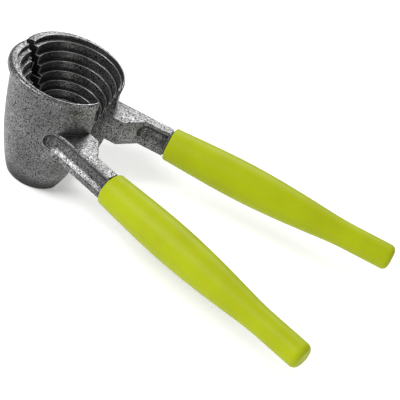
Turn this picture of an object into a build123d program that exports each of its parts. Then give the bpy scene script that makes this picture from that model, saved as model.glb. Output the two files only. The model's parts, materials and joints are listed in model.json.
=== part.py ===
"""A hand nutcracker: two cast half-shells close a stepped funnel round the nut.

Each casting is a half-shell, a flared root, an I-section shank and a hidden tang that carries a
moulded grip. The castings turn on one pin through a three-knuckle hinge on the far side of the
cup. Everything is laid out with the jaws closed, cup axis up, handles along +X and the foot at
z = 0, and each half is then turned about the pin to the open rest pose.
"""
import math
import os

from build123d import *

# ---------------------------------------------------------------- driving dimensions (mm, degrees)
HEIGHT = 58.0            # foot to rim
RIM_RADIUS = 26.0        # outside of the rim, and where the hinge axis stands
RIM_BAND = 3.2           # height of the rim's outer band
RIM_ROUND = 1.7          # rounding of the rim's outer top edge
LIP_RUN = 2.6            # height over which the band draws in to the wall
WALL_INSET = 1.5         # the wall stands in from the rim by this
FOOT_RADIUS = 14.0       # outside of the foot
WALL_POWER = 2.6         # how late the wall curves in: higher is later
WALL_LEVELS = 7          # circles that the wall is lofted through
FOOT_ROUND = 1.0
LEAN = 5.2               # how far the foot's centre stands nearer the handles than the rim's
LEAN_DEPTH = 50.0        # depth at which the lean is complete
SPLIT_GAP = 1.0          # gap between the two castings when closed

MOUTH_INSET = 2.6        # the funnel's mouth is this much smaller in radius than the rim
MOUTH_SHIFT = 1.3        # mouth centre nearer the handles than the rim's centre
OUTLET_RADIUS = 8.2      # hole through the foot
LEDGE_COUNT = 11
LEDGE_SHRINK = 0.05      # each ledge is this much narrower than the one above
FIRST_LEDGE = 2.2        # depth of the first ledge
OUTLET_LENGTH = 10.8     # from the last ledge to the foot
RELIEF = 1.3             # each half is cut back by this inside the hinge, so that nothing pinches
RELIEF_LEAD = 2.8        # length of the slope that leads into the relief
RELIEF_LENGTH = 15.0     # from the hinge axis to the relief's end
RELIEF_DEPTH = 17.0      # below the rim

OPEN_ANGLE = 22.6        # between the halves in the rest pose
HINGE_TOP = 6.2          # depth of the top of the hinge barrel
KNUCKLE_HEIGHT = 4.2
KNUCKLE_GAP = 0.2
KNUCKLE_COUNT = 3
KNUCKLE_CLEARANCE = 0.35
LUG_BITE = 2.2           # how far the lugs run into the wall
PIN_RADIUS = 1.6
PIN_RUNNING_CLEARANCE = 0.06
PIN_WALL = 1.4           # wall of the knuckles round the pin
PIN_HEAD_RADIUS = 2.4
PIN_HEAD_HEIGHT = 1.2
PIN_HEAD_ROUND = 0.8
PIN_TIP_INSET = 0.4      # the pin's upper end stops this far below the top knuckle's face

SHANK_DEPTH = 17.4       # depth of the shank's top face below the rim
SHANK_HEIGHT = 13.6
SHANK_WIDTH = 6.4
SHANK_OFFSET = 12.6      # centre of the shank from the split plane
PAD_LENGTH = 7.5         # stop pad on the split plane, beyond the rim
FLARE_LENGTH = 8.1       # from the pad's end to the straight shank
SHANK_LENGTH = 13.0      # straight shank, from the flare to its end face
SHANK_ROUND = 0.7
ROOT_BLEND = 20.0        # plan radius that blends the shank's outer side into the cup's wall
GROOVE_DEPTH = 2.4
GROOVE_HEIGHT = 8.8
GROOVE_RISE = 1.3        # groove centre above the shank's centre
GROOVE_BEND = 0.6        # share of the root's blend that the outer groove follows
INNER_GROOVE_LEAD = 2.9  # the inner groove starts this far beyond the flare

TOE_IN = 0.5             # each grip turns this many degrees towards the other
GRIP_GAP = 0.9           # between the shank's end face and the grip's mouth
GRIP_LENGTH = 121.2
GRIP_MOUTH_RADIUS = 8.3
GRIP_MOUTH_SLOPE = 0.045
GRIP_BELLY_RADIUS = 9.65
GRIP_BELLY_AT = 42.2     # from the mouth
GRIP_WAIST_RADIUS = 7.45
GRIP_WAIST_RUN = 18.0    # from the waist to the tail
GRIP_TAIL_RADIUS = 6.45
GRIP_TAIL_LENGTH = 22.0
GRIP_MOUTH_ROUND = 1.3
GRIP_END_ROUND = 3.0

TANG_LENGTH = 78.0
TANG_SHOULDER = 0.5      # the tang is narrower than the shank by this on each side
TANG_STEP = 1.0          # and lower by this above and below
TANG_ROOT = 0.4          # it starts this far inside the shank's end
TANG_TAPER = 0.5         # it narrows by this on each side towards its tip
TANG_DROP = 1.5          # and loses this much height above and below
TANG_CLEARANCE = 0.1

# ---------------------------------------------------------------- derived places
HINGE_X = -RIM_RADIUS
WALL_RADIUS = RIM_RADIUS - WALL_INSET
MOUTH_RADIUS = RIM_RADIUS - MOUTH_INSET
LEDGE_PITCH = (HEIGHT - FIRST_LEDGE - OUTLET_LENGTH) / (LEDGE_COUNT - 1)
LEDGE_WIDTH = (MOUTH_RADIUS - OUTLET_RADIUS) / LEDGE_COUNT + LEDGE_SHRINK * (LEDGE_COUNT - 1) / 2

PAD_END = RIM_RADIUS + PAD_LENGTH
FLARE_END = PAD_END + FLARE_LENGTH
SHANK_END = FLARE_END + SHANK_LENGTH
GRIP_START = SHANK_END + GRIP_GAP
SHANK_TOP = HEIGHT - SHANK_DEPTH
SHANK_MIDDLE = SHANK_TOP - SHANK_HEIGHT / 2
SHANK_INNER = SHANK_OFFSET - SHANK_WIDTH / 2
SHANK_OUTER = SHANK_OFFSET + SHANK_WIDTH / 2
GROOVE_RADIUS = ((GROOVE_HEIGHT / 2) ** 2 + GROOVE_DEPTH**2) / (2 * GROOVE_DEPTH)
GROOVE_REACH = GROOVE_RADIUS - GROOVE_DEPTH

KNUCKLE_RADIUS = PIN_RADIUS + PIN_WALL
KNUCKLE_STEP = KNUCKLE_HEIGHT + KNUCKLE_GAP
BARREL_TOP = HEIGHT - HINGE_TOP
BARREL_BOTTOM = BARREL_TOP - KNUCKLE_COUNT * KNUCKLE_STEP + KNUCKLE_GAP
FRONT_KNUCKLES = range(0, KNUCKLE_COUNT, 2)
REAR_KNUCKLES = range(1, KNUCKLE_COUNT, 2)
LARGE = 4 * HEIGHT       # bigger than anything it cuts
OVERCUT = 1.0            # how far a cut runs past the face that it opens
EDGE_MARGIN = 0.01       # keeps the end faces' own edges out of a search along a bar


def lean(depth):
    """How far the cup's centre has moved towards the handles at a depth below the rim."""
    left = max(0.0, 1 - depth / LEAN_DEPTH)
    return LEAN * (1 - left**2)


def wall_radius(depth):
    """Outside radius of the cup's wall at a depth below the rim."""
    return WALL_RADIUS - (WALL_RADIUS - FOOT_RADIUS) * (depth / HEIGHT) ** WALL_POWER


def level_circle(depth, radius, centre_x):
    """A horizontal disc at a depth below the rim."""
    return Pos(centre_x, 0, HEIGHT - depth) * Circle(radius)


def cup_outside():
    """The cup as a solid: rim band, lip and leaning wall."""
    band = Pos(0, 0, HEIGHT - RIM_BAND / 2) * Cylinder(RIM_RADIUS, RIM_BAND)
    band = fillet(band.edges().group_by(Axis.Z)[-1], RIM_ROUND)

    lip_end = RIM_BAND + LIP_RUN
    lip = loft([
        level_circle(RIM_BAND, RIM_RADIUS, 0),
        level_circle(lip_end, wall_radius(lip_end), lean(lip_end)),
    ], ruled=True)

    level_step = (HEIGHT - lip_end) / (WALL_LEVELS - 1)
    depths = [lip_end + level * level_step for level in range(WALL_LEVELS)]
    wall = loft([level_circle(depth, wall_radius(depth), lean(depth)) for depth in depths])
    wall = fillet(wall.edges().group_by(Axis.Z)[0], FOOT_ROUND)
    return band + lip + wall


def funnel():
    """The stepped space inside the cup, open at the rim and at the foot."""
    radius = MOUTH_RADIUS
    width = LEDGE_WIDTH
    top = 0.0
    bottom = FIRST_LEDGE
    space = None
    for ledge in range(LEDGE_COUNT + 1):
        if ledge == LEDGE_COUNT:
            bottom = HEIGHT + OVERCUT
        centre = lean(bottom) + MOUTH_SHIFT * max(0.0, 1 - bottom / HEIGHT)
        above = OVERCUT if ledge == 0 else 0.0
        step_height = bottom - top + above
        step = Pos(centre, 0, HEIGHT - bottom + step_height / 2) * Cylinder(radius, step_height)
        space = step if space is None else space + step
        radius -= width
        width -= LEDGE_SHRINK
        top = bottom
        bottom += LEDGE_PITCH
    return space


def relief():
    """The space cut from a half beside the hinge, on the +Y side."""
    face = SPLIT_GAP / 2
    plan = Polyline(
        (HINGE_X, 0),
        (HINGE_X, face),
        (HINGE_X + RELIEF_LEAD, face + RELIEF),
        (HINGE_X + RELIEF_LENGTH, face + RELIEF),
        (HINGE_X + RELIEF_LENGTH, 0),
        close=True,
    )
    return Pos(0, 0, HEIGHT - RELIEF_DEPTH) * extrude(make_face(plan), RELIEF_DEPTH + OVERCUT)


def root_blend():
    """Centre of the root's blend arc, on the +Y side, and its angle from the shank to the wall."""
    lowest = SHANK_DEPTH + SHANK_HEIGHT
    centre_y = SHANK_OUTER + ROOT_BLEND
    run = ((wall_radius(lowest) + ROOT_BLEND) ** 2 - centre_y**2) ** 0.5
    return Vector(lean(lowest) + run, centre_y), math.degrees(math.atan2(run, centre_y))


def shank():
    """The flared root and the shank before its grooves are cut, on the +Y side."""
    centre, angle = root_blend()
    on_wall = centre + Vector(0, -ROOT_BLEND).rotate(Axis.Z, -angle)
    sides = Polyline(
        on_wall,
        (0, on_wall.Y),
        (0, SPLIT_GAP / 2),
        (PAD_END, SPLIT_GAP / 2),
        (FLARE_END, SHANK_INNER),
        (SHANK_END, SHANK_INNER),
        (SHANK_END, SHANK_OUTER),
        (centre.X, SHANK_OUTER),
    )
    plan = make_face(sides + TangentArc(sides @ 1, sides @ 0, tangent=(-1, 0)))
    bar = Pos(0, 0, SHANK_TOP - SHANK_HEIGHT) * extrude(plan, SHANK_HEIGHT)
    long_edges = [
        edge for edge in bar.edges().filter_by(Axis.Z, reverse=True)
        if EDGE_MARGIN < edge.center().X < SHANK_END - EDGE_MARGIN and edge.center().Y > SPLIT_GAP
    ]
    return fillet(long_edges, SHANK_ROUND)


def groove(start, side_y):
    """A straight groove along the shank, with a round start, about an axis at side_y."""
    run = SHANK_END - start
    bar = Pos(start + run / 2, side_y, 0) * Rot(0, 90, 0) * Cylinder(GROOVE_RADIUS, run)
    return bar + Pos(start, side_y, 0) * Sphere(GROOVE_RADIUS)


def grooves():
    """The grooves of the I-section. The outer one follows the root's blend towards the wall."""
    centre, blend_angle = root_blend()
    angle = GROOVE_BEND * blend_angle
    bend_radius = ROOT_BLEND - GROOVE_REACH
    bend = Pos(centre.X, centre.Y, 0) * Rot(0, 0, -90 - angle) * Torus(
        bend_radius, GROOVE_RADIUS, major_angle=angle, align=None)
    end = centre + Vector(0, -bend_radius).rotate(Axis.Z, -angle)
    outer = groove(centre.X, SHANK_OUTER + GROOVE_REACH) + bend
    outer += Pos(end.X, end.Y, 0) * Sphere(GROOVE_RADIUS)
    inner = groove(FLARE_END + INNER_GROOVE_LEAD, SHANK_INNER - GROOVE_REACH)
    return Pos(0, 0, SHANK_MIDDLE + GROOVE_RISE) * (outer + inner)


def on_shank(shape):
    """A shape laid out along +X from the origin, put at the shank's end with the toe-in."""
    return Pos(GRIP_START, SHANK_OFFSET, SHANK_MIDDLE) * Rot(0, 0, -TOE_IN) * shape


def tang(clearance=0.0):
    """The tapered tongue that the grip is pushed onto, or its socket with a clearance."""
    width = SHANK_WIDTH - 2 * TANG_SHOULDER + 2 * clearance
    height = SHANK_HEIGHT - 2 * TANG_STEP + 2 * clearance
    ends = []
    for x, narrower, lower in (
        (-GRIP_GAP - TANG_ROOT, 0, 0),
        (TANG_LENGTH + clearance, 2 * TANG_TAPER, 2 * TANG_DROP),
    ):
        section = Plane(origin=(x, 0, 0), x_dir=(0, 1, 0), z_dir=(1, 0, 0))
        ends.append(section * Rectangle(width - narrower, height - lower))
    return on_shank(loft(ends, ruled=True))


def knuckle(index, radius, overlap=0.0):
    """One knuckle's cylinder about the hinge axis, taller by the overlap at both ends."""
    top = BARREL_TOP - index * KNUCKLE_STEP
    middle = top - KNUCKLE_HEIGHT / 2
    return Pos(HINGE_X, 0, middle) * Cylinder(radius, KNUCKLE_HEIGHT + 2 * overlap)


def lug(index):
    """The block that ties a knuckle to the wall, on the +Y side."""
    middle = BARREL_TOP - index * KNUCKLE_STEP - KNUCKLE_HEIGHT / 2
    lowest = HEIGHT - BARREL_BOTTOM
    reach = RIM_RADIUS - wall_radius(lowest) + lean(lowest) + LUG_BITE
    depth = KNUCKLE_RADIUS - SPLIT_GAP / 2
    return Pos(HINGE_X + reach / 2, SPLIT_GAP / 2 + depth / 2, middle) * Box(
        reach, depth, KNUCKLE_HEIGHT)


def jaw(own_knuckles, other_knuckles, pin_hole_radius):
    """One casting on the +Y side, jaws closed."""
    keep = Pos(0, SPLIT_GAP / 2 + LARGE / 2, HEIGHT / 2) * Box(LARGE, LARGE, LARGE)
    casting = cup_outside() & keep
    casting += shank()
    casting -= funnel() + relief()
    casting -= grooves()
    for index in other_knuckles:
        casting -= knuckle(index, KNUCKLE_RADIUS + KNUCKLE_CLEARANCE, KNUCKLE_GAP)
    for index in own_knuckles:
        casting += lug(index)
        casting += knuckle(index, KNUCKLE_RADIUS)
    hole_length = BARREL_TOP - BARREL_BOTTOM + 2 * KNUCKLE_GAP
    hole_middle = (BARREL_TOP + BARREL_BOTTOM) / 2
    casting -= Pos(HINGE_X, 0, hole_middle) * Cylinder(pin_hole_radius, hole_length)
    casting += tang()
    return casting


def grip():
    """A moulded handle cover on the +Y side, with the socket for the tang."""
    tail_at = GRIP_LENGTH - GRIP_TAIL_LENGTH
    swell = Spline(
        (0, GRIP_MOUTH_RADIUS),
        (GRIP_BELLY_AT, GRIP_BELLY_RADIUS),
        (tail_at - GRIP_WAIST_RUN, GRIP_WAIST_RADIUS),
        (tail_at, GRIP_TAIL_RADIUS),
        tangents=[(1, GRIP_MOUTH_SLOPE), (1, 0)],
    )
    outline = swell + Polyline(
        swell @ 1, (GRIP_LENGTH, GRIP_TAIL_RADIUS), (GRIP_LENGTH, 0), (0, 0), swell @ 0)
    cover = revolve(make_face(outline), Axis.X)
    cover = fillet(cover.edges().sort_by(Axis.X)[0], GRIP_MOUTH_ROUND)
    cover = fillet(cover.edges().sort_by(Axis.X)[-1], GRIP_END_ROUND)
    return on_shank(cover) - tang(TANG_CLEARANCE)


def hinge_pin():
    """A headed pin, pushed up through the knuckles."""
    top = BARREL_TOP - PIN_TIP_INSET
    length = top - BARREL_BOTTOM
    shaft = Pos(HINGE_X, 0, BARREL_BOTTOM + length / 2) * Cylinder(PIN_RADIUS, length)
    head = Pos(HINGE_X, 0, BARREL_BOTTOM - PIN_HEAD_HEIGHT / 2) * Cylinder(
        PIN_HEAD_RADIUS, PIN_HEAD_HEIGHT)
    head = fillet(head.edges().group_by(Axis.Z)[0], PIN_HEAD_ROUND)
    return shaft + head


def turned(shape, angle):
    """A shape turned about the hinge axis."""
    return Pos(HINGE_X, 0, 0) * Rot(0, 0, angle) * Pos(-HINGE_X, 0, 0) * shape


half_angle = OPEN_ANGLE / 2
rear_jaw = jaw(REAR_KNUCKLES, FRONT_KNUCKLES, PIN_RADIUS + PIN_RUNNING_CLEARANCE)
front_jaw = mirror(jaw(FRONT_KNUCKLES, REAR_KNUCKLES, PIN_RADIUS), about=Plane.XZ)
rear_grip = grip()
front_grip = mirror(rear_grip, about=Plane.XZ)

nodes = {
    "front_jaw": turned(front_jaw, -half_angle),
    "rear_jaw": turned(rear_jaw, half_angle),
    "front_grip": turned(front_grip, -half_angle),
    "rear_grip": turned(rear_grip, half_angle),
    "hinge_pin": hinge_pin(),
}

# The origin is the middle of the open nutcracker's length and width, at the level of its foot.
box = Compound(children=[shape.solid() for shape in nodes.values()]).bounding_box()
centre_x = (box.min.X + box.max.X) / 2
centre_y = (box.min.Y + box.max.Y) / 2

os.makedirs("parts", exist_ok=True)
for name, shape in nodes.items():
    placed = Pos(-centre_x, -centre_y, -box.min.Z) * shape
    export_step(placed, f"parts/{name}.step")

print(f"hinge axis at x {HINGE_X - centre_x:.3f}, y {-centre_y:.3f}")
print(f"size {box.size.X:.2f} x {box.size.Y:.2f} x {box.size.Z:.2f}")
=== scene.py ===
# %% [markdown]
# # A hand nutcracker with a stepped funnel
#
# Two castings, each a half-shell with a handle, turn on one short pin. Inside, the half-shells
# make a funnel of ledges that closes round the nut. A moulded grip is pushed onto each handle.
# The engineering model comes first and stays fixed: every solid already has its true shape, size
# and place in metres, so this script adds the finishes, the light and the camera around it.
# Modelling the castings again in Blender would only give a second, less exact copy of them.

import json
import math

import bpy
from mathutils import Matrix, Vector


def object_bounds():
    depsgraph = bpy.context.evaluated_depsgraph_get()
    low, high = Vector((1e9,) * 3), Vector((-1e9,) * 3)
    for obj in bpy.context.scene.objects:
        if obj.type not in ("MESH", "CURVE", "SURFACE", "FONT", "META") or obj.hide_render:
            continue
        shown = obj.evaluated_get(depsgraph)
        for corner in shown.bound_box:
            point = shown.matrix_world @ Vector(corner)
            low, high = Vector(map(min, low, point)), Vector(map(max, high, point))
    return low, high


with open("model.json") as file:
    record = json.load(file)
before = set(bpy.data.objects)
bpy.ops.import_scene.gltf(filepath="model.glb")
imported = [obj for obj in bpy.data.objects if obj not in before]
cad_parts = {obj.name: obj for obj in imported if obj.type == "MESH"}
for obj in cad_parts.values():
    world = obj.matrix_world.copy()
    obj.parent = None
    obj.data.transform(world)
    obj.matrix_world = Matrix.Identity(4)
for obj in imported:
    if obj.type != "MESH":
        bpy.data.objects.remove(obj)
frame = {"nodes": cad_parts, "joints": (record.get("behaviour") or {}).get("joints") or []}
cad_low, cad_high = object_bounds()
print("solids:", sorted(frame["nodes"]))
print("box in metres:", [round(b - a, 4) for a, b in zip(cad_low, cad_high)])

# %% [markdown]
# ## Units
#
# Blender works in metres and this object is thought of in millimetres, so every small size on it
# is written as a number of MM. The floor, the lights and the camera stay in metres. The hinge is
# printed from the frame to check the scale: its pin stands at the far side of the cup.

# %% Units and a look at the hinge
MM = 0.001
hinge = frame["joints"][0]
print("hinge at", [round(c / MM, 1) for c in hinge["pos_m"]], "mm, from",
      [round(a, 1) for a in hinge["range_deg"]], "degrees")

# %% [markdown]
# ## Small tools for building materials
#
# A material is a little graph of nodes. Four helpers keep the graphs short. They make a material,
# add a node with its values, turn a grey pattern into a mask, and mix two colours by a mask. All
# of it could be written out for each material, but then the same lines would come three times.


# %% Node helpers
def new_material(name):
    """A material with its Principled shader, and the graph that the helpers add to."""
    material = bpy.data.materials.new(name)
    material.use_nodes = True
    tree = material.node_tree
    return material, tree, tree.nodes["Principled BSDF"]


def add(tree, kind, inputs=None, **settings):
    """A node with its settings and its unlinked inputs, given by socket name."""
    node = tree.nodes.new(kind)
    for key, value in settings.items():
        setattr(node, key, value)
    for socket, value in (inputs or {}).items():
        node.inputs[socket].default_value = value
    return node


def ramp(tree, source, limits):
    """A mask that rises from 0 at the low limit of the source to 1 at the high limit."""
    low, high = limits
    node = add(tree, "ShaderNodeMapRange", {"From Min": low, "From Max": high},
               interpolation_type="SMOOTHSTEP")
    tree.links.new(source, node.inputs["Value"])
    return node.outputs["Result"]


def mix_colour(tree, mask, first, second):
    """The first colour where the mask is 0, the second where it is 1."""
    node = add(tree, "ShaderNodeMix", data_type="RGBA")
    tree.links.new(mask, node.inputs["Factor"])
    places = [socket for socket in node.inputs if socket.type == "RGBA"]
    for place, colour in zip(places, (first, second)):
        if isinstance(colour, tuple):
            place.default_value = (*colour, 1)
        else:
            tree.links.new(colour, place)
    return [socket for socket in node.outputs if socket.type == "RGBA"][0]


print("helpers ready")

# %% [markdown]
# ## One grain for every finish
#
# Enamel, moulded plastic and turned steel all vary a little over their surface, each at its own
# scale. The same noise can do all three, so it is built once as a node group and placed in each
# material with its own size, detail and limits. Its mask is 0 below the low limit and 1 above
# the high one. The alternative, a noise and a ramp wired by hand in each material, is easy to
# get wrong.


# %% Grain group
NOISE_ROUGHNESS = 0.6


def grain_group():
    """A node group: noise of a given grain size, and a mask made from it."""
    group = bpy.data.node_groups.new("grain", "ShaderNodeTree")
    group.interface.new_socket("Vector", in_out="INPUT", socket_type="NodeSocketVector")
    for name in ("Size", "Detail", "Low", "High"):
        group.interface.new_socket(name, in_out="INPUT", socket_type="NodeSocketFloat")
    for name in ("Value", "Mask"):
        group.interface.new_socket(name, in_out="OUTPUT", socket_type="NodeSocketFloat")
    given = group.nodes.new("NodeGroupInput").outputs
    result = group.nodes.new("NodeGroupOutput").inputs
    per_metre = add(group, "ShaderNodeMath", {0: 1.0}, operation="DIVIDE")
    noise = add(group, "ShaderNodeTexNoise", {"Roughness": NOISE_ROUGHNESS})
    mask = add(group, "ShaderNodeMapRange", interpolation_type="SMOOTHSTEP")
    for source, target in (
        (given["Size"], per_metre.inputs[1]),
        (given["Vector"], noise.inputs["Vector"]),
        (per_metre.outputs[0], noise.inputs["Scale"]),
        (given["Detail"], noise.inputs["Detail"]),
        (noise.outputs["Fac"], mask.inputs["Value"]),
        (given["Low"], mask.inputs["From Min"]),
        (given["High"], mask.inputs["From Max"]),
        (noise.outputs["Fac"], result["Value"]),
        (mask.outputs["Result"], result["Mask"]),
    ):
        group.links.new(source, target)
    return group


grain_nodes = grain_group()


def grain(tree, place, size, limits, detail=2.0):
    """The grain group placed in a material, at a size in metres."""
    low, high = limits
    node = add(tree, "ShaderNodeGroup", node_tree=grain_nodes)
    for socket, value in (("Size", size), ("Low", low), ("High", high), ("Detail", detail)):
        node.inputs[socket].default_value = value
    tree.links.new(place, node.inputs["Vector"])
    return node.outputs


def vary_gloss(tree, shader, mask, roughness):
    """Roughness that runs from the first value where the mask is 0 to the second at 1."""
    smooth, dull = roughness
    gloss = add(tree, "ShaderNodeMapRange", {"To Min": smooth, "To Max": dull})
    tree.links.new(mask, gloss.inputs["Value"])
    tree.links.new(gloss.outputs["Result"], shader.inputs["Roughness"])


print("group", grain_nodes.name, "with", len(grain_nodes.nodes), "nodes")

# %% [markdown]
# ## Hammertone enamel on the castings
#
# The castings are dipped in hammertone enamel, a grey paint with metal flake. As it dries it
# draws into small cells, light on their crowns and dark where they meet, with dark flecks here
# and there. A picture wrapped round the casting would show seams, so the cells are worked out in
# space: a Voronoi pattern gives the crowns, and a finer noise gives the flecks. The same patterns
# drive the colour, the gloss and the small relief, so that they line up.
#
# Two more effects follow the shape of the casting, and both are painted light and shade. Shade
# is painted dark where the surface is sheltered, as in the funnel and the creases, which the
# Ambient
# Occlusion node finds. A highlight is painted bright along the edges that stand out: there the
# rounded normal of the Bevel node leaves the true one, and the difference between them is the
# mask.
# Painting these by hand would take a map for each casting, and would have to be done again
# whenever a ledge moves.

# %% Hammertone enamel
CELL_SIZE = 1.1 * MM
CELL_SMOOTHNESS = 0.6
VALLEY_LIMITS = (0.25, 0.75)
FLECK_SIZE = 0.6 * MM
FLECK_LIMITS = (0.51, 0.58)
FLECK_DETAIL = 3.0
DRIFT_SIZE = 25 * MM
DRIFT_LIMITS = (0.35, 0.65)
ENAMEL_LIGHT = (0.31, 0.31, 0.31)
ENAMEL_MID = (0.13, 0.13, 0.13)
ENAMEL_FLECK = (0.005, 0.005, 0.005)
# A painted highlight, laid along the edges that stand out.
ENAMEL_PAINTED_HIGHLIGHT = (0.70, 0.70, 0.70)
# Painted shade, laid over sheltered places such as the funnel and the creases.
ENAMEL_PAINTED_SHADE = (0.012, 0.012, 0.012)
ENAMEL_ROUGHNESS = (0.36, 0.55)
ENAMEL_METALLIC = 0.8
CELL_RELIEF = 0.12 * MM
CELL_STRENGTH = 0.7
PAINTED_SHADE_REACH = 14 * MM
PAINTED_SHADE_LIMITS = (0.4, 0.9)
SHELTER_SAMPLES = 8
CORNER_REACH = 1.2 * MM
CORNER_LIMITS = (0.55, 0.9)
SOFT_EDGE = 0.35 * MM
SOFT_EDGE_SAMPLES = 6
EDGE_HIGHLIGHT_LIMITS = (0.01, 0.12)


def openness(tree, reach, limits):
    """A mask that is 0 where the surface is sheltered within a reach, and 1 in the open."""
    shelter = add(tree, "ShaderNodeAmbientOcclusion", {"Distance": reach}, samples=SHELTER_SAMPLES)
    return ramp(tree, shelter.outputs["AO"], limits)


def painted_edge_highlight(tree, rounded):
    """A mask for the painted highlight on the edges that stand out, from the rounded normal."""
    true = add(tree, "ShaderNodeNewGeometry").outputs["Normal"]
    dot = add(tree, "ShaderNodeVectorMath", operation="DOT_PRODUCT")
    tree.links.new(true, dot.inputs[0])
    tree.links.new(rounded, dot.inputs[1])
    turned = add(tree, "ShaderNodeMath", {0: 1.0}, operation="SUBTRACT")
    tree.links.new(dot.outputs["Value"], turned.inputs[1])
    both = add(tree, "ShaderNodeMath", operation="MULTIPLY")
    tree.links.new(ramp(tree, turned.outputs[0], EDGE_HIGHLIGHT_LIMITS), both.inputs[0])
    tree.links.new(openness(tree, CORNER_REACH, CORNER_LIMITS), both.inputs[1])
    return both.outputs[0]


def hammertone():
    """Grey cellular enamel with dark flecks, painted shade in its corners and painted highlights
    on its edges.
    """
    material, tree, shader = new_material("hammertone_enamel")
    place = add(tree, "ShaderNodeTexCoord").outputs["Object"]
    cells = add(tree, "ShaderNodeTexVoronoi",
                {"Scale": 1 / CELL_SIZE, "Smoothness": CELL_SMOOTHNESS}, feature="SMOOTH_F1")
    tree.links.new(place, cells.inputs["Vector"])
    valley = ramp(tree, cells.outputs["Distance"], VALLEY_LIMITS)
    fleck = grain(tree, place, FLECK_SIZE, FLECK_LIMITS, FLECK_DETAIL)["Mask"]
    drift = grain(tree, place, DRIFT_SIZE, DRIFT_LIMITS)["Mask"]
    soft = add(tree, "ShaderNodeBevel", {"Radius": SOFT_EDGE}, samples=SOFT_EDGE_SAMPLES)
    rounded = soft.outputs["Normal"]

    crown = mix_colour(tree, drift, ENAMEL_MID, ENAMEL_LIGHT)
    enamel = mix_colour(tree, valley, crown, ENAMEL_MID)
    speckled = mix_colour(tree, fleck, enamel, ENAMEL_FLECK)
    # Painted shade: where Ambient Occlusion finds the surface sheltered, the enamel colour is
    # darkened.
    outside_painted_shade = openness(tree, PAINTED_SHADE_REACH, PAINTED_SHADE_LIMITS)
    shaded = mix_colour(tree, outside_painted_shade, ENAMEL_PAINTED_SHADE, speckled)
    # Painted highlight: the edges that stand out are lightened to a near-white grey.
    colour = mix_colour(tree, painted_edge_highlight(tree, rounded), shaded, ENAMEL_PAINTED_HIGHLIGHT)
    tree.links.new(colour, shader.inputs["Base Color"])
    vary_gloss(tree, shader, fleck, ENAMEL_ROUGHNESS)
    shader.inputs["Metallic"].default_value = ENAMEL_METALLIC

    relief = add(tree, "ShaderNodeBump", {"Strength": CELL_STRENGTH, "Distance": CELL_RELIEF},
                 invert=True)
    tree.links.new(rounded, relief.inputs["Normal"])
    tree.links.new(cells.outputs["Distance"], relief.inputs["Height"])
    tree.links.new(relief.outputs["Normal"], shader.inputs["Normal"])
    return material


enamel = hammertone()
print("made", enamel.name, "with", len(enamel.node_tree.nodes), "nodes")

# %% [markdown]
# ## Lime-green moulded grips
#
# Each grip is one moulding in a satin lime green. A moulded skin is never perfectly flat: it has
# a fine spark-eroded grain from the mould, and the colour is a little deeper in places. Both
# come from the grain group at two sizes. Its gloss is kept low, as on a grip that must not slip.

# %% Grip plastic
LIME = (0.34, 0.40, 0.002)
LIME_DEEP = (0.315, 0.365, 0.002)
LIME_ROUGHNESS = (0.44, 0.54)
LIME_SPECULAR = 0.15
CLOUD_SIZE = 18 * MM
CLOUD_LIMITS = (0.35, 0.7)
GRAIN_SIZE = 0.35 * MM
GRAIN_LIMITS = (0.3, 0.7)
GRAIN_RELIEF = 0.012 * MM
GRAIN_STRENGTH = 0.4


def grip_plastic():
    """Satin lime-green plastic with a moulded grain."""
    material, tree, shader = new_material("lime_grip_plastic")
    place = add(tree, "ShaderNodeTexCoord").outputs["Object"]
    fine = grain(tree, place, GRAIN_SIZE, GRAIN_LIMITS)
    cloud = grain(tree, place, CLOUD_SIZE, CLOUD_LIMITS)["Mask"]
    tree.links.new(mix_colour(tree, cloud, LIME, LIME_DEEP), shader.inputs["Base Color"])
    vary_gloss(tree, shader, fine["Mask"], LIME_ROUGHNESS)
    shader.inputs["Specular IOR Level"].default_value = LIME_SPECULAR
    relief = add(tree, "ShaderNodeBump", {"Strength": GRAIN_STRENGTH, "Distance": GRAIN_RELIEF})
    tree.links.new(fine["Value"], relief.inputs["Height"])
    tree.links.new(relief.outputs["Normal"], shader.inputs["Normal"])
    return material


lime = grip_plastic()
print("made", lime.name, "with", len(lime.node_tree.nodes), "nodes")

# %% [markdown]
# ## The hinge pin
#
# The pin is plain turned steel with a bright plating. Turning leaves rings round its axis. The
# grain group makes them when a Mapping node scales its coordinates up along the pin, which is
# simpler than cutting such shallow rings as geometry.

# %% Pin steel
STEEL = (0.60, 0.61, 0.63)
STEEL_DARK = (0.38, 0.38, 0.40)
STEEL_ROUGHNESS = (0.22, 0.42)
RING_SIZE = 1.8 * MM
RING_LIMITS = (0.35, 0.7)
RING_DETAIL = 3.0
RING_SQUEEZE = 12


def pin_steel():
    """Bright turned steel with fine rings."""
    material, tree, shader = new_material("turned_pin_steel")
    place = add(tree, "ShaderNodeTexCoord").outputs["Object"]
    squeeze = add(tree, "ShaderNodeMapping", {"Scale": (1, 1, RING_SQUEEZE)})
    tree.links.new(place, squeeze.inputs["Vector"])
    rings = grain(tree, squeeze.outputs["Vector"], RING_SIZE, RING_LIMITS, RING_DETAIL)["Mask"]
    tree.links.new(mix_colour(tree, rings, STEEL, STEEL_DARK), shader.inputs["Base Color"])
    vary_gloss(tree, shader, rings, STEEL_ROUGHNESS)
    shader.inputs["Metallic"].default_value = 1.0
    return material


steel = pin_steel()
print("made", steel.name, "with", len(steel.node_tree.nodes), "nodes")

# %% [markdown]
# ## Each solid gets its finish
#
# The solids keep their own shapes, so a finish only replaces what is in their material slots. A
# copy of each solid could carry the finish instead, but it would have to be kept in step with it.


# %% Put the finishes on the solids
def finish_node(name, material):
    """One material over a whole solid."""
    mesh = frame["nodes"][name].data
    mesh.materials.clear()
    mesh.materials.append(material)
    print(name, "->", material.name)


for node, material in (
    ("front_jaw", enamel), ("rear_jaw", enamel),
    ("front_grip", lime), ("rear_grip", lime),
    ("hinge_pin", steel),
):
    finish_node(node, material)

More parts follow.
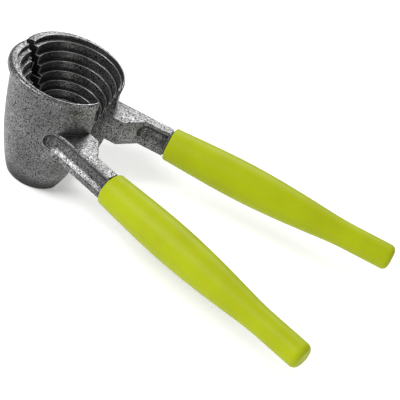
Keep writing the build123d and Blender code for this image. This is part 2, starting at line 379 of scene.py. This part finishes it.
# %% [markdown]
# ## The floor
#
# The nutcracker stands on its foot on a pale floor, one large plane at the level of the foot. A
# little light of its own keeps the shadows on it pale, as on a studio table lit from below. A
# curved backdrop would do the same job and isn't needed, since the camera looks down.

# %% Floor
FLOOR_SIZE = 6.0
FLOOR_COLOUR = (0.92, 0.92, 0.92, 1)
FLOOR_ROUGHNESS = 0.9
FLOOR_GLOW = 0.25

bpy.ops.object.select_all(action="DESELECT")
bpy.ops.mesh.primitive_plane_add(size=FLOOR_SIZE, location=(0, 0, cad_low.z))
floor = bpy.context.object
floor.name = "floor"
floor_material, _, floor_shader = new_material("pale_floor")
for socket, value in (
    ("Base Color", FLOOR_COLOUR), ("Roughness", FLOOR_ROUGHNESS),
    ("Emission Color", FLOOR_COLOUR), ("Emission Strength", FLOOR_GLOW),
):
    floor_shader.inputs[socket].default_value = value
floor.data.materials.append(floor_material)
print("floor at", round(cad_low.z / MM, 2), "mm")

# %% [markdown]
# ## Soft light
#
# Enamel with metal flake is judged by what it mirrors, so each light stands where one kind of
# face mirrors it to the camera. The key light, low behind the cup, lights the level faces and
# throws the cup's shadow over the front root. The front light runs along the lower half of the
# grooves, the side light lifts the cut edges, and a plain sky fills the rest. One big lamp
# overhead would be softer still, but every face would come out the same grey.

# %% Lights and sky
AIM = Vector((0, 0, 0.03))
SKY_STRENGTH = 0.35


def soft_light(name, azimuth, elevation, distance, size, power):
    """A square area light that looks at the object. Azimuth 0 is in front, 90 at +X."""
    a, e = math.radians(azimuth), math.radians(elevation)
    way = Vector((math.sin(a) * math.cos(e), -math.cos(a) * math.cos(e), math.sin(e)))
    data = bpy.data.lights.new(name, "AREA")
    data.shape = "SQUARE"
    data.size = size
    data.energy = power
    lamp = bpy.data.objects.new(name, data)
    lamp.location = AIM + distance * way
    lamp.rotation_euler = way.to_track_quat("Z", "Y").to_euler()
    bpy.context.scene.collection.objects.link(lamp)
    print(name, "at", [round(c, 2) for c in lamp.location])


soft_light("key_light", azimuth=196, elevation=38, distance=1.2, size=0.5, power=6.5)
soft_light("front_light", azimuth=318, elevation=44, distance=1.2, size=0.6, power=14)
soft_light("side_light", azimuth=75, elevation=30, distance=1.3, size=0.5, power=3)

world = bpy.data.worlds.new("soft_sky")
world.use_nodes = True
sky = world.node_tree.nodes["Background"].inputs
sky["Color"].default_value = (1, 1, 1, 1)
sky["Strength"].default_value = SKY_STRENGTH
bpy.context.scene.world = world
bpy.context.scene.view_settings.view_transform = "Standard"
print("sky strength", SKY_STRENGTH)

# %% [markdown]
# ## The camera
#
# The camera looks down from the front, a little from the right, and is rolled so that the handles
# run to the lower right. Its three directions are worked out from the angles and set as a matrix,
# because a camera that tracks a target would lose the roll.

# %% Camera
CAMERA_AZIMUTH = 14.5
CAMERA_ELEVATION = 35.0
CAMERA_ROLL = 25.5
CAMERA_DISTANCE = 0.766
CAMERA_TARGET = Vector((0.0117, 0.0083, 0.0304))
SENSOR = 36.0
LENS = 145.5

az, el, roll = (math.radians(v) for v in (CAMERA_AZIMUTH, CAMERA_ELEVATION, CAMERA_ROLL))
back = Vector((math.sin(az) * math.cos(el), -math.cos(az) * math.cos(el), math.sin(el)))
right = Vector((math.cos(az), math.sin(az), 0))
up = back.cross(right)
turned_right = math.cos(roll) * right + math.sin(roll) * up
turned_up = math.cos(roll) * up - math.sin(roll) * right

camera_data = bpy.data.cameras.new("camera")
camera_data.sensor_width = SENSOR
camera_data.lens = LENS
camera = bpy.data.objects.new("camera", camera_data)
turn = Matrix((turned_right, turned_up, back)).transposed()
camera.matrix_world = Matrix.Translation(CAMERA_TARGET + CAMERA_DISTANCE * back) @ turn.to_4x4()
bpy.context.scene.collection.objects.link(camera)
bpy.context.scene.camera = camera
print("camera at", [round(c, 3) for c in camera.matrix_world.translation])
